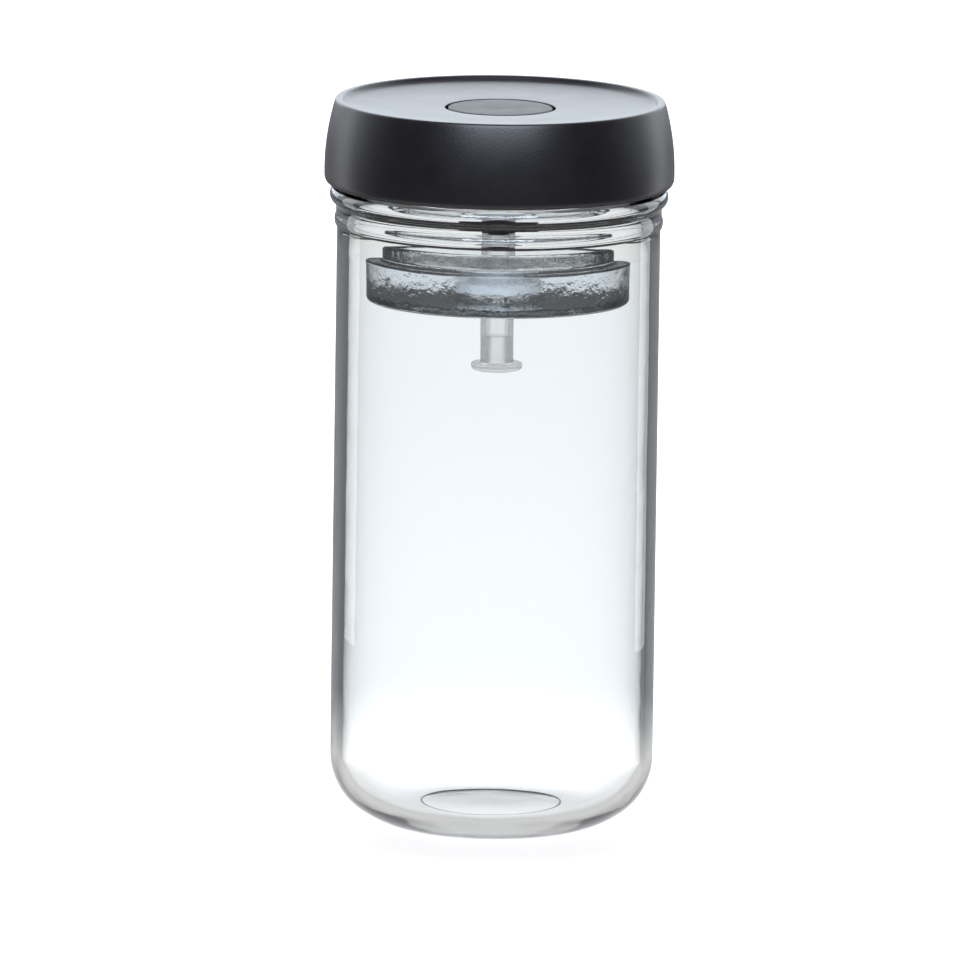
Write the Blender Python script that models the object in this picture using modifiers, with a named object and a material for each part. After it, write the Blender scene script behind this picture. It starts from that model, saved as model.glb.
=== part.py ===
"""Fermentation jar: a glass jar with a screw lid, a push-to-vent button, a self-acting gas valve
and a glass press that hangs from the lid on a clear stem.

Everything is turned about the Z axis. Z = 0 is the face that the jar stands on.
"""

import math

import bmesh
import bpy

MM = 0.001

# Clearances
FIT_GAP = 0.3 * MM          # between pieces that touch
RUNNING_GAP = 0.4 * MM      # round pieces that turn or slide in each other
THREAD_GAP = 0.45 * MM      # between the flanks of the lugs
PRESS_CLEARANCE = 3.0 * MM  # between the press and the jar's mouth
SKIRT_GAP = 1.0 * MM        # between the lid's skirt and the bead

# Glass jar
JAR_HEIGHT = 232.4 * MM
BODY_RADIUS = 53.1 * MM
BODY_WALL = 4.1 * MM
BASE_THICKNESS = 5.0 * MM
HEEL_RADIUS = 21.5 * MM     # from the wall down
SOLE_RADIUS = 37.0 * MM     # from there to the flat base
HEEL_SWEEP = math.radians(57)
SHOULDER_DROP = 30.6 * MM   # middle of the shoulder ring, below the rim
SHOULDER_SWELL = 0.85 * MM
SHOULDER_HALF = 2.1 * MM
BEAD_DROP = 22.3 * MM       # middle of the bead, below the rim
BEAD_SWELL = 2.5 * MM
BEAD_ROUND = 3.2 * MM
BEAD_RISE = 2.4 * MM        # its top face, above its middle
BEAD_FALL = 3.6 * MM        # where it meets the neck, below its middle
BEAD_SWEEP = 58.0           # degrees of its round below its middle
NECK_SWELL = 0.4 * MM       # between the ring and the bead
NARROWING_DROP = 42.0 * MM  # where the bore starts to narrow, below the rim
FINISH_STEP = 3.8 * MM      # how far the threaded finish stands in from the body
FINISH_WALL = 3.1 * MM

# Thread, right-handed, on the jar and in the lid
STARTS = 4
LEAD = 24.0 * MM
LUG_RADIUS = 1.3 * MM
THREAD_DROP = 6.5 * MM      # middle of the jar's lugs, below the rim
LUG_END = 0.4               # thickness of a lug's ends, as a share of its middle
JAR_LUG_ARC = math.radians(75)
CAP_LUG_ARC = math.radians(45)
LUG_TURN = math.radians(52)  # where the first lug's middle is, clear of the front

# Lid
GASKET_THICKNESS = 1.6 * MM
GASKET_LIP = 1.2 * MM       # how far the gasket reaches inside the mouth
RIB_WALL = 1.4 * MM         # rib that holds the gasket from inside
CAP_PLATE = 2.0 * MM
CAP_WALL = 1.8 * MM
CAP_FLANGE_HEIGHT = 2.0 * MM
CAP_RECESS = 1.6 * MM       # inner cap's edge, above the skirt's edge
SHELL_PLATE = 2.2 * MM
SHELL_WALL = 2.1 * MM
SNAP_DEPTH = 0.9 * MM
SNAP_HEIGHT = 0.9 * MM
BARREL_SWELL = 2.15 * MM    # from the lid's plate to the fullest part of its skirt
BARREL_RISE = 5.0 * MM      # the fullest part, above the skirt's edge
SKIRT_ROUND = 2.8 * MM
RIM_RISE = 2.6 * MM         # the rim band, above the lid's floor
RIM_BAND = 2.2 * MM
RIM_ROUND = 1.1 * MM
RIM_SLOPE = 1.4 * MM

# Vent button and its valve
BUTTON_RADIUS = 17.2 * MM
BUTTON_THICKNESS = 1.6 * MM
BUTTON_TRAVEL = 1.8 * MM
BUTTON_GROOVE = 1.0 * MM    # open ring round the button
BUTTON_ROUND = 0.6 * MM
GUIDE_WALL = 1.8 * MM
GUIDE_DEPTH = 11.0 * MM
WELL_RADIUS = 15.8 * MM
WELL_WALL = 2.0 * MM
WELL_DEPTH = 16.5 * MM
WELL_FLOOR = 2.0 * MM
ROD_RADIUS = 2.4 * MM
ROD_BORE_GAP = 0.6 * MM     # gas passes here while the button is down
ROD_BOSS_RADIUS = 5.2 * MM
ROD_BOSS_HEIGHT = 2.0 * MM
FLAP_THICKNESS = 1.0 * MM
FLAP_EDGE_GAP = 0.6 * MM
VENT_HOLES = 6
VENT_HOLE_RADIUS = 1.2 * MM
VENT_CIRCLE = 12.8 * MM
WASHER_THICKNESS = 0.8 * MM
WASHER_RADIUS = 8.6 * MM
WASHER_BORE = 4.6 * MM
SPRING_RADIUS = 6.2 * MM
SPRING_WIRE = 0.45 * MM
SPRING_TURNS = 5
SEAL_RADIUS = 6.0 * MM
SEAL_THICKNESS = 1.5 * MM
SCREW_HEAD_RADIUS = 4.2 * MM
SCREW_HEAD = 2.0 * MM
SCREW_SHANK = 1.1 * MM
SCREW_DRIVE = 1.3 * MM
SCREW_LENGTH = 7.0 * MM

# Stem and what holds it in the lid
BOSS_BORE = 8.6 * MM
BOSS_WALL = 2.0 * MM
BOSS_WINDOWS = 4
WINDOW_WIDTH = 5.0 * MM
WINDOW_HEIGHT = 2.3 * MM
NUT_FLANGE = 1.5 * MM
NUT_WALL = 2.0 * MM
HANGER_FLANGE = 2.0 * MM
HANGER_PLAY = 0.5 * MM
NECK_DROP = 2.7 * MM        # the hanger's neck, below the nut
SPIGOT_LENGTH = 3.0 * MM
STEM_RADIUS = 5.45 * MM
STEM_WALL = 1.65 * MM
FLARE_RADIUS = 7.7 * MM
FLARE_EDGE = 0.6 * MM
FLARE_HEIGHT = 2.9 * MM
STOP_RADIUS = 8.4 * MM
STOP_THICKNESS = 2.2 * MM
STOP_PLUG = 9.0 * MM

# Press
PRESS_DEPTH = 42.2 * MM     # the press's shoulder, below the jar's rim
PRESS_THICKNESS = 14.4 * MM
PRESS_RISE = 6.7 * MM       # travel up the stem
PRESS_TRAVEL = 21.0 * MM    # travel down the stem
PRESS_ROUND = 1.2 * MM
RING_INSET = 5.5 * MM       # raised ring, in from the press's edge
RING_WIDTH = 4.2 * MM
RING_HEIGHT = 7.0 * MM
RING_ROUND = 1.3 * MM
FOOT_INSET = 8.5 * MM
FOOT_RECESS = 2.0 * MM
HUB_RADIUS = 13.0 * MM
GRIP_WIDTH = 3.45 * MM
GRIP_HEIGHT = 4.1 * MM
GRIP_ROUND = 1.2 * MM
BUSH_HEIGHT = 2.8 * MM

# Facets
FINE = 48
MEDIUM = 32
SMALL = 20
ARC_STEPS = 2
LUG_STEPS = 8
TUBE_SIDES = 6
HOLE_SIDES = 12
SPRING_STEPS = 10           # for each turn
MERGE = 0.01 * MM
CUT_PAST = 0.3 * MM         # how far a cutter stands out of what it cuts

# Heights that follow from the sizes above
BEAD_Z = JAR_HEIGHT - BEAD_DROP
BEAD_TOP = BEAD_Z + BEAD_RISE
SHOULDER_Z = JAR_HEIGHT - SHOULDER_DROP
NARROWING_Z = JAR_HEIGHT - NARROWING_DROP
GASKET_Z = JAR_HEIGHT + FIT_GAP
CAP_PLATE_Z = GASKET_Z + GASKET_THICKNESS + FIT_GAP
CAP_TOP_Z = CAP_PLATE_Z + CAP_PLATE
SHELL_PLATE_Z = CAP_TOP_Z + FIT_GAP
LID_FLOOR_Z = SHELL_PLATE_Z + SHELL_PLATE
LID_TOP_Z = LID_FLOOR_Z + RIM_RISE
SKIRT_Z = BEAD_TOP + SKIRT_GAP
CAP_EDGE_Z = SKIRT_Z + CAP_RECESS

BUTTON_UNDER_Z = LID_FLOOR_Z - BUTTON_THICKNESS
LEDGE_Z = BUTTON_UNDER_Z - BUTTON_TRAVEL - FIT_GAP
WELL_FLOOR_Z = LEDGE_Z - WELL_DEPTH
WELL_UNDER_Z = WELL_FLOOR_Z - WELL_FLOOR
FLAP_Z = WELL_FLOOR_Z + FIT_GAP
WASHER_Z = FLAP_Z + FLAP_THICKNESS + FIT_GAP
SPRING_Z = WASHER_Z + WASHER_THICKNESS + FIT_GAP
SEAL_TOP_Z = WELL_UNDER_Z - FIT_GAP
SEAL_Z = SEAL_TOP_Z - SEAL_THICKNESS
ROD_Z = SEAL_Z + FIT_GAP
SCREW_TOP_Z = SEAL_Z - FIT_GAP
SCREW_Z = SCREW_TOP_Z - SCREW_HEAD

HANGER_TOP_Z = SCREW_Z - BUTTON_TRAVEL - HANGER_PLAY
HANGER_Z = HANGER_TOP_Z - HANGER_FLANGE
NUT_FLANGE_TOP_Z = HANGER_Z - FIT_GAP
NUT_Z = NUT_FLANGE_TOP_Z - NUT_FLANGE
WINDOW_TOP_Z = WELL_UNDER_Z - FIT_GAP
WINDOW_Z = WINDOW_TOP_Z - WINDOW_HEIGHT
NUT_TOP_Z = WINDOW_Z - FIT_GAP
NECK_Z = NUT_Z - NECK_DROP
STEM_TOP_Z = NECK_Z - FIT_GAP

PRESS_TOP_Z = JAR_HEIGHT - PRESS_DEPTH
PRESS_Z = PRESS_TOP_Z - PRESS_THICKNESS
FLARE_Z = PRESS_TOP_Z + PRESS_RISE + FIT_GAP
STOP_TOP_Z = PRESS_Z - PRESS_TRAVEL - FIT_GAP
STEM_BOTTOM_Z = STOP_TOP_Z + FIT_GAP
BUSH_Z = PRESS_Z + FIT_GAP
GRIP_Z = BUSH_Z + BUSH_HEIGHT + FIT_GAP
POCKET_TOP_Z = GRIP_Z + GRIP_HEIGHT + FIT_GAP

# Radii that follow
FINISH_RADIUS = BODY_RADIUS - FINISH_STEP
MOUTH_RADIUS = FINISH_RADIUS - FINISH_WALL
BODY_BORE = BODY_RADIUS - BODY_WALL
NECK_RADIUS = BODY_RADIUS + NECK_SWELL
CAP_BORE = FINISH_RADIUS + LUG_RADIUS + THREAD_GAP
CAP_RADIUS = CAP_BORE + CAP_WALL
PLATE_RADIUS = CAP_RADIUS + RUNNING_GAP + SHELL_WALL
LID_RADIUS = PLATE_RADIUS + BARREL_SWELL
BUTTON_HOLE = BUTTON_RADIUS + BUTTON_GROOVE
GUIDE_RADIUS = WELL_RADIUS - RUNNING_GAP
WELL_OUTER = WELL_RADIUS + WELL_WALL
BOSS_RADIUS = BOSS_BORE + BOSS_WALL
NUT_BORE = BOSS_RADIUS + FIT_GAP
NUT_RADIUS = NUT_BORE + NUT_WALL
STEM_BORE = STEM_RADIUS - STEM_WALL
PRESS_RADIUS = MOUTH_RADIUS - PRESS_CLEARANCE
RING_RADIUS = PRESS_RADIUS - RING_INSET
GRIP_BORE = STEM_RADIUS + FIT_GAP
GRIP_RADIUS = GRIP_BORE + GRIP_WIDTH
POCKET_RADIUS = GRIP_RADIUS + FIT_GAP

# Mating lugs: the lid's run under the jar's, flank to flank
LUG_OFFSET = CAP_BORE - FINISH_RADIUS
LUG_DROP = math.sqrt((2 * LUG_RADIUS + THREAD_GAP) ** 2 - LUG_OFFSET ** 2)


def clear_scene():
    for obj in list(bpy.data.objects):
        bpy.data.objects.remove(obj, do_unlink=True)


def new_collection(name):
    collection = bpy.data.collections.new(name)
    bpy.context.scene.collection.children.link(collection)
    return collection


def make_material(name, color, roughness, metallic=0.0, transmission=0.0):
    material = bpy.data.materials.new(name)
    material.use_nodes = True
    shader = material.node_tree.nodes["Principled BSDF"]
    shader.inputs["Base Color"].default_value = (*color, 1.0)
    shader.inputs["Roughness"].default_value = roughness
    shader.inputs["Metallic"].default_value = metallic
    shader.inputs["Transmission Weight"].default_value = transmission
    material.diffuse_color = (*color, 1.0 - 0.7 * transmission)
    return material


def arc(center, radii, start, end, steps):
    """Points on an ellipse from the start angle to the end angle, both included."""
    points = []
    for i in range(steps + 1):
        angle = math.radians(start + (end - start) * i / steps)
        points.append((center[0] + radii[0] * math.cos(angle), center[1] + radii[1] * math.sin(angle)))
    return points


def rounded(corners, steps=ARC_STEPS):
    """An outline from (radius, height, fillet) corners, each fillet an arc tangent to its sides."""
    outline = []
    count = len(corners)
    for i, (x, z, fillet) in enumerate(corners):
        if fillet == 0:
            outline.append((x, z))
            continue
        before = corners[i - 1]
        after = corners[(i + 1) % count]
        ax, az = before[0] - x, before[1] - z
        bx, bz = after[0] - x, after[1] - z
        a_len = math.hypot(ax, az)
        b_len = math.hypot(bx, bz)
        ax, az, bx, bz = ax / a_len, az / a_len, bx / b_len, bz / b_len
        half = math.acos(max(-1.0, min(1.0, ax * bx + az * bz))) / 2
        cut = min(fillet / math.tan(half), 0.49 * a_len, 0.49 * b_len)
        radius = cut * math.tan(half)
        reach = radius / math.sin(half)
        mid = math.hypot(ax + bx, az + bz)
        cx = x + (ax + bx) / mid * reach
        cz = z + (az + bz) / mid * reach
        start = math.atan2(z + az * cut - cz, x + ax * cut - cx)
        end = math.atan2(z + bz * cut - cz, x + bx * cut - cx)
        sweep = (end - start + math.pi) % (2 * math.pi) - math.pi
        for j in range(steps + 1):
            angle = start + sweep * j / steps
            outline.append((cx + radius * math.cos(angle), cz + radius * math.sin(angle)))
    return outline


def turned(name, outline, steps, material, collection, seat=0.0, closed=True):
    """A solid of revolution. The outline runs down its outer side and up its inner side."""
    mesh = bpy.data.meshes.new(name)
    verts = [(x, 0.0, z - seat) for x, z in outline]
    edges = [(i, i + 1) for i in range(len(verts) - 1)]
    if closed:
        edges.append((len(verts) - 1, 0))
    mesh.from_pydata(verts, edges, [])
    obj = bpy.data.objects.new(name, mesh)
    collection.objects.link(obj)
    obj.location.z = seat
    screw = obj.modifiers.new("Turn", "SCREW")
    screw.axis = "Z"
    screw.angle = 2 * math.pi
    screw.steps = steps
    screw.render_steps = steps
    screw.use_merge_vertices = True
    screw.merge_threshold = MERGE
    screw.use_smooth_shade = True
    mesh.materials.append(material)
    return obj


def to_mesh(obj, name, collection):
    """Replaces a curve object by a mesh object whose caps are welded."""
    bpy.context.view_layer.update()
    depsgraph = bpy.context.evaluated_depsgraph_get()
    mesh = bpy.data.meshes.new_from_object(obj.evaluated_get(depsgraph))
    mesh.name = name
    bm = bmesh.new()
    bm.from_mesh(mesh)
    bmesh.ops.remove_doubles(bm, verts=bm.verts, dist=MERGE)
    bmesh.ops.recalc_face_normals(bm, faces=bm.faces)
    bm.to_mesh(mesh)
    bm.free()
    solid = bpy.data.objects.new(name, mesh)
    collection.objects.link(solid)
    solid.matrix_world = obj.matrix_world.copy()
    bpy.data.objects.remove(obj, do_unlink=True)
    return solid


def tube(name, paths, thickness, sides, collection):
    """A solid with a round section along each path of (x, y, z, swell) points."""
    curve = bpy.data.curves.new(name + "_path", "CURVE")
    curve.dimensions = "3D"
    curve.bevel_depth = thickness
    curve.bevel_resolution = (sides - 4) // 2
    curve.use_fill_caps = True
    for path in paths:
        spline = curve.splines.new("POLY")
        spline.points.add(len(path) - 1)
        for point, (x, y, z, swell) in zip(spline.points, path):
            point.co = (x, y, z, 1.0)
            point.radius = swell
    obj = bpy.data.objects.new(name + "_path", curve)
    collection.objects.link(obj)
    return to_mesh(obj, name, collection)


def lug_path(radius, middle_z, middle_angle, sweep):
    """A stretch of the right-handed helix, thinner at both ends."""
    path = []
    for i in range(LUG_STEPS + 1):
        share = i / LUG_STEPS - 0.5
        angle = middle_angle + sweep * share
        swell = LUG_END if abs(share) == 0.5 else 1.0
        height = middle_z + LEAD * sweep * share / (2 * math.pi)
        path.append((radius * math.cos(angle), radius * math.sin(angle), height, swell))
    return path


def add_lugs(obj, name, radius, middle_z, sweep, cutters):
    paths = [
        lug_path(radius, middle_z, LUG_TURN + 2 * math.pi * i / STARTS, sweep)
        for i in range(STARTS)
    ]
    combine(obj, tube(name, paths, LUG_RADIUS, TUBE_SIDES, cutters), "UNION")


def combine(obj, tool, operation):
    tool.hide_render = True
    tool.display_type = "WIRE"
    boolean = obj.modifiers.new(tool.name, "BOOLEAN")
    boolean.operation = operation
    boolean.solver = "EXACT"
    boolean.object = tool


def hole_cutters(name, count, radius, circle, bottom, top, cutters):
    """Upright round cutters on a circle, joined as one object."""
    bm = bmesh.new()
    for i in range(count):
        angle = 2 * math.pi * (i + 0.5) / count
        made = bmesh.ops.create_cone(
            bm, cap_ends=True, segments=HOLE_SIDES, radius1=radius, radius2=radius, depth=top - bottom
        )
        place = (circle * math.cos(angle), circle * math.sin(angle), (top + bottom) / 2)
        bmesh.ops.translate(bm, verts=made["verts"], vec=place)
    mesh = bpy.data.meshes.new(name)
    bm.to_mesh(mesh)
    bm.free()
    obj = bpy.data.objects.new(name, mesh)
    cutters.objects.link(obj)
    return obj


def window_cutters(name, count, width, inner, outer, bottom, top, cutters):
    """Radial boxes that open windows through a round wall."""
    bm = bmesh.new()
    for i in range(count):
        angle = 2 * math.pi * i / count
        verts = bmesh.ops.create_cube(bm, size=1.0)["verts"]
        bmesh.ops.scale(bm, verts=verts, vec=(outer - inner, width, top - bottom))
        bmesh.ops.translate(bm, verts=verts, vec=((outer + inner) / 2, 0, (top + bottom) / 2))
        turn = [[math.cos(angle), -math.sin(angle), 0], [math.sin(angle), math.cos(angle), 0], [0, 0, 1]]
        for vert in verts:
            x, y, z = vert.co
            vert.co = [row[0] * x + row[1] * y + row[2] * z for row in turn]
    mesh = bpy.data.meshes.new(name)
    bm.to_mesh(mesh)
    bm.free()
    obj = bpy.data.objects.new(name, mesh)
    cutters.objects.link(obj)
    return obj


def heel_curve(wall, bottom, inset, steps):
    """Two tangent arcs from the straight wall down to the flat base."""
    small = HEEL_RADIUS - inset
    large = SOLE_RADIUS - inset
    height = large - (large - small) * math.sin(HEEL_SWEEP)
    sweep = math.degrees(HEEL_SWEEP)
    sole_x = wall - small - (large - small) * math.cos(HEEL_SWEEP)
    points = arc((wall - small, bottom + height), (small, small), 0, -sweep, steps)
    points += arc((sole_x, bottom + large), (large, large), -sweep, -90, steps - 1)[1:]
    return points


def barrel(z):
    """Outer radius of the lid's skirt at a height: one shallow arc."""
    middle = SKIRT_Z + BARREL_RISE
    return LID_RADIUS - BARREL_SWELL * ((z - middle) / (SHELL_PLATE_Z - middle)) ** 2


def spread(start, end, count):
    """Evenly spaced values strictly between two ends."""
    return [start + (end - start) * (i + 1) / (count + 1) for i in range(count)]


def make_glass_jar(parts, cutters, material):
    rim_round = FINISH_WALL / 2
    rim_middle = FINISH_RADIUS - rim_round
    heel = heel_curve(BODY_RADIUS, 0.0, 0.0, 4)
    inner_heel = heel_curve(BODY_BORE, BASE_THICKNESS, BODY_WALL, 3)
    step = (BODY_BORE - MOUTH_RADIUS) / 2
    rise = (BEAD_Z - NARROWING_Z) / 2
    bead_middle = BODY_RADIUS + BEAD_SWELL - BEAD_ROUND
    bead_start = math.degrees(math.asin(BEAD_RISE / BEAD_ROUND))
    ring_start = math.degrees(math.acos(NECK_SWELL / SHOULDER_SWELL))
    outline = [(0.0, BASE_THICKNESS)]
    outline += inner_heel[::-1]
    outline += arc((BODY_BORE - step, NARROWING_Z), (step, rise), 0, 90, ARC_STEPS)
    outline += arc((BODY_BORE - step, BEAD_Z), (step, rise), -90, -180, ARC_STEPS)[1:]
    outline += arc((rim_middle, JAR_HEIGHT - rim_round), (rim_round, rim_round), 180, 0, 4)
    outline += [(FINISH_RADIUS, BEAD_TOP)]
    outline += arc((bead_middle, BEAD_Z), (BEAD_ROUND, BEAD_ROUND), bead_start, -BEAD_SWEEP, 4)
    outline += [(NECK_RADIUS, BEAD_Z - BEAD_FALL)]
    outline += arc((BODY_RADIUS, SHOULDER_Z), (SHOULDER_SWELL, SHOULDER_HALF), ring_start, -90, 3)
    outline += heel
    outline += [(0.0, 0.0)]
    jar = turned("glass_jar", outline, FINE, material, parts, closed=False)
    add_lugs(jar, "jar_lugs", FINISH_RADIUS, JAR_HEIGHT - THREAD_DROP, JAR_LUG_ARC, cutters)
    return jar


def make_lid_shell(parts, material):
    """Barrel skirt, raised rim band, recessed floor with the button's hole, and a snap ridge inside."""
    top_radius = barrel(LID_TOP_Z)
    band_inner = top_radius - RIM_BAND
    flange_radius = barrel(CAP_EDGE_Z) - SHELL_WALL - RUNNING_GAP
    ridge_top = CAP_EDGE_Z - FIT_GAP
    ridge_radius = flange_radius - SNAP_DEPTH
    skirt_end = SKIRT_Z + SKIRT_ROUND
    skirt = spread(LID_TOP_Z, skirt_end, 5)
    hem = arc((barrel(skirt_end) - SKIRT_ROUND, skirt_end), (SKIRT_ROUND, SKIRT_ROUND), 0, -90, 3)
    inside = spread(ridge_top, SHELL_PLATE_Z, 2)
    corners = [(top_radius, LID_TOP_Z, RIM_ROUND)]
    corners += [(barrel(z), z, 0) for z in skirt]
    corners += [(x, z, 0) for x, z in hem]
    corners += [(ridge_radius + SNAP_HEIGHT / 2, SKIRT_Z, 0), (ridge_radius, SKIRT_Z + SNAP_HEIGHT / 2, 0)]
    corners += [(ridge_radius, ridge_top, 0), (barrel(ridge_top) - SHELL_WALL, ridge_top, 0)]
    corners += [(barrel(z) - SHELL_WALL, z, 0) for z in inside]
    corners += [(PLATE_RADIUS - SHELL_WALL, SHELL_PLATE_Z, 0), (BUTTON_HOLE, SHELL_PLATE_Z, 0)]
    corners += [(BUTTON_HOLE, LID_FLOOR_Z, 0), (band_inner - RIM_SLOPE, LID_FLOOR_Z, 0)]
    corners += [(band_inner, LID_TOP_Z, 0)]
    return turned("lid_shell", rounded(corners), FINE, material, parts, seat=SHELL_PLATE_Z)


def make_thread_cap(parts, cutters, material):
    """Inner cap: plate, threaded skirt, gasket rib, the button's well and the hanger's boss."""
    flange_radius = barrel(CAP_EDGE_Z) - SHELL_WALL - RUNNING_GAP
    flange_top = CAP_EDGE_Z + CAP_FLANGE_HEIGHT
    rib_outer = MOUTH_RADIUS - GASKET_LIP - FIT_GAP
    rib_inner = rib_outer - RIB_WALL
    rod_bore = ROD_RADIUS + ROD_BORE_GAP
    outline = [
        (CAP_RADIUS, CAP_TOP_Z),
        (CAP_RADIUS, flange_top),
        (flange_radius, flange_top),
        (flange_radius, CAP_EDGE_Z),
        (CAP_BORE, CAP_EDGE_Z),
        (CAP_BORE, CAP_PLATE_Z),
        (rib_outer, CAP_PLATE_Z),
        (rib_outer, GASKET_Z),
        (rib_inner, GASKET_Z),
        (rib_inner, CAP_PLATE_Z),
        (WELL_OUTER, CAP_PLATE_Z),
        (WELL_OUTER, WELL_UNDER_Z),
        (BOSS_RADIUS, WELL_UNDER_Z),
        (BOSS_RADIUS, HANGER_Z),
        (BOSS_BORE, HANGER_Z),
        (BOSS_BORE, WELL_UNDER_Z),
        (rod_bore, WELL_UNDER_Z),
        (rod_bore, WELL_FLOOR_Z),
        (WELL_RADIUS, WELL_FLOOR_Z),
        (WELL_RADIUS, LEDGE_Z),
        (BUTTON_HOLE, LEDGE_Z),
        (BUTTON_HOLE, CAP_TOP_Z),
    ]
    cap = turned("thread_cap", outline, FINE, material, parts, seat=CAP_PLATE_Z)
    lugs_z = JAR_HEIGHT - THREAD_DROP - LUG_DROP
    add_lugs(cap, "cap_lugs", CAP_BORE, lugs_z, CAP_LUG_ARC, cutters)
    holes = hole_cutters(
        "vent_hole_cutters", VENT_HOLES, VENT_HOLE_RADIUS, VENT_CIRCLE,
        WELL_UNDER_Z - CUT_PAST, WELL_FLOOR_Z + CUT_PAST, cutters,
    )
    combine(cap, holes, "DIFFERENCE")
    windows = window_cutters(
        "boss_window_cutters", BOSS_WINDOWS, WINDOW_WIDTH,
        BOSS_BORE - CUT_PAST * 2, BOSS_RADIUS + CUT_PAST, WINDOW_Z, WINDOW_TOP_Z, cutters,
    )
    combine(cap, windows, "DIFFERENCE")
    return cap


def ring(name, inner, outer, bottom, height, fillet, steps, material, parts):
    corners = [
        (outer, bottom + height, fillet),
        (outer, bottom, fillet),
        (inner, bottom, fillet),
        (inner, bottom + height, fillet),
    ]
    return turned(name, rounded(corners), steps, material, parts, seat=bottom)


def make_vent_button(parts, material):
    """Disc, guide skirt, and the rod that carries the seal, with the screw's hole in its end."""
    guide_inner = GUIDE_RADIUS - GUIDE_WALL
    guide_bottom = BUTTON_UNDER_Z - GUIDE_DEPTH
    boss_bottom = BUTTON_UNDER_Z - ROD_BOSS_HEIGHT
    hole = SCREW_SHANK + FIT_GAP
    hole_top = SCREW_TOP_Z + SCREW_LENGTH + FIT_GAP
    corners = [
        (BUTTON_RADIUS, LID_FLOOR_Z, BUTTON_ROUND),
        (BUTTON_RADIUS, BUTTON_UNDER_Z, 0),
        (GUIDE_RADIUS, BUTTON_UNDER_Z, 0),
        (GUIDE_RADIUS, guide_bottom, 0),
        (guide_inner, guide_bottom, 0),
        (guide_inner, BUTTON_UNDER_Z, 0),
        (ROD_BOSS_RADIUS, BUTTON_UNDER_Z, 0),
        (ROD_BOSS_RADIUS, boss_bottom, 0),
        (ROD_RADIUS, boss_bottom, 0),
        (ROD_RADIUS, ROD_Z, 0),
        (hole, ROD_Z, 0),
        (hole, hole_top, 0),
        (0.0, hole_top, 0),
        (0.0, LID_FLOOR_Z, 0),
    ]
    outline = rounded(corners)
    outline = outline[-1:] + outline[:-1]
    return turned("vent_button", outline, MEDIUM, material, parts, seat=BUTTON_UNDER_Z, closed=False)


def make_button_spring(parts, material):
    """An open coil from the washer up to the button's underside."""
    bottom = SPRING_Z + SPRING_WIRE
    top = BUTTON_UNDER_Z - FIT_GAP - SPRING_WIRE
    count = SPRING_TURNS * SPRING_STEPS
    path = []
    for i in range(count + 1):
        angle = 2 * math.pi * SPRING_TURNS * i / count
        height = bottom + (top - bottom) * i / count
        path.append((SPRING_RADIUS * math.cos(angle), SPRING_RADIUS * math.sin(angle), height, 1.0))
    spring = tube("button_spring", [path], SPRING_WIRE, TUBE_SIDES, parts)
    spring.data.materials.append(material)
    return spring


def make_poppet_screw(parts, material):
    """Round-head screw with a round drive recess, its shank up inside the rod."""
    corners = [
        (0.0, SCREW_TOP_Z + SCREW_LENGTH, 0),
        (SCREW_SHANK, SCREW_TOP_Z + SCREW_LENGTH, 0),
        (SCREW_SHANK, SCREW_TOP_Z, 0),
        (SCREW_HEAD_RADIUS, SCREW_TOP_Z, 0),
        (SCREW_HEAD_RADIUS, SCREW_Z, SCREW_HEAD / 2),
        (SCREW_DRIVE, SCREW_Z, 0),
        (SCREW_DRIVE, SCREW_Z + SCREW_HEAD / 2, 0),
        (0.0, SCREW_Z + SCREW_HEAD / 2, 0),
    ]
    return turned("poppet_screw", rounded(corners), SMALL, material, parts, seat=SCREW_Z, closed=False)


def make_hanger_nut(parts, material):
    """Cup nut on the boss, which traps the hanger's flange above its own."""
    outline = [
        (NUT_RADIUS, NUT_TOP_Z),
        (NUT_RADIUS, NUT_Z),
        (STEM_RADIUS + FIT_GAP, NUT_Z),
        (STEM_RADIUS + FIT_GAP, NUT_FLANGE_TOP_Z),
        (NUT_BORE, NUT_FLANGE_TOP_Z),
        (NUT_BORE, NUT_TOP_Z),
    ]
    return turned("hanger_nut", outline, SMALL, material, parts, seat=NUT_Z)


def make_stem_hanger(parts, material):
    """Flange that turns in the boss, neck through the nut, and the spigot that the stem fits on."""
    spigot = STEM_BORE - FIT_GAP
    flange = BOSS_BORE - RUNNING_GAP
    outline = [
        (0.0, HANGER_TOP_Z),
        (flange, HANGER_TOP_Z),
        (flange, HANGER_Z),
        (STEM_RADIUS, HANGER_Z),
        (STEM_RADIUS, NECK_Z),
        (spigot, NECK_Z),
        (spigot, NECK_Z - SPIGOT_LENGTH),
        (0.0, NECK_Z - SPIGOT_LENGTH),
    ]
    return turned("stem_hanger", outline, SMALL, material, parts, seat=HANGER_Z, closed=False)


def make_press_stem(parts, material):
    """Clear tube with the flared collar that stops the press on its way up."""
    flare_top = FLARE_Z + FLARE_HEIGHT
    outline = [
        (STEM_RADIUS, STEM_TOP_Z),
        (STEM_RADIUS, flare_top),
        (FLARE_RADIUS, flare_top),
        (FLARE_RADIUS, flare_top - FLARE_EDGE),
        (STEM_RADIUS, FLARE_Z),
        (STEM_RADIUS, STEM_BOTTOM_Z),
        (STEM_BORE, STEM_BOTTOM_Z),
        (STEM_BORE, STEM_TOP_Z),
    ]
    return turned("press_stem", outline, SMALL, material, parts, seat=STEM_BOTTOM_Z)


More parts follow.
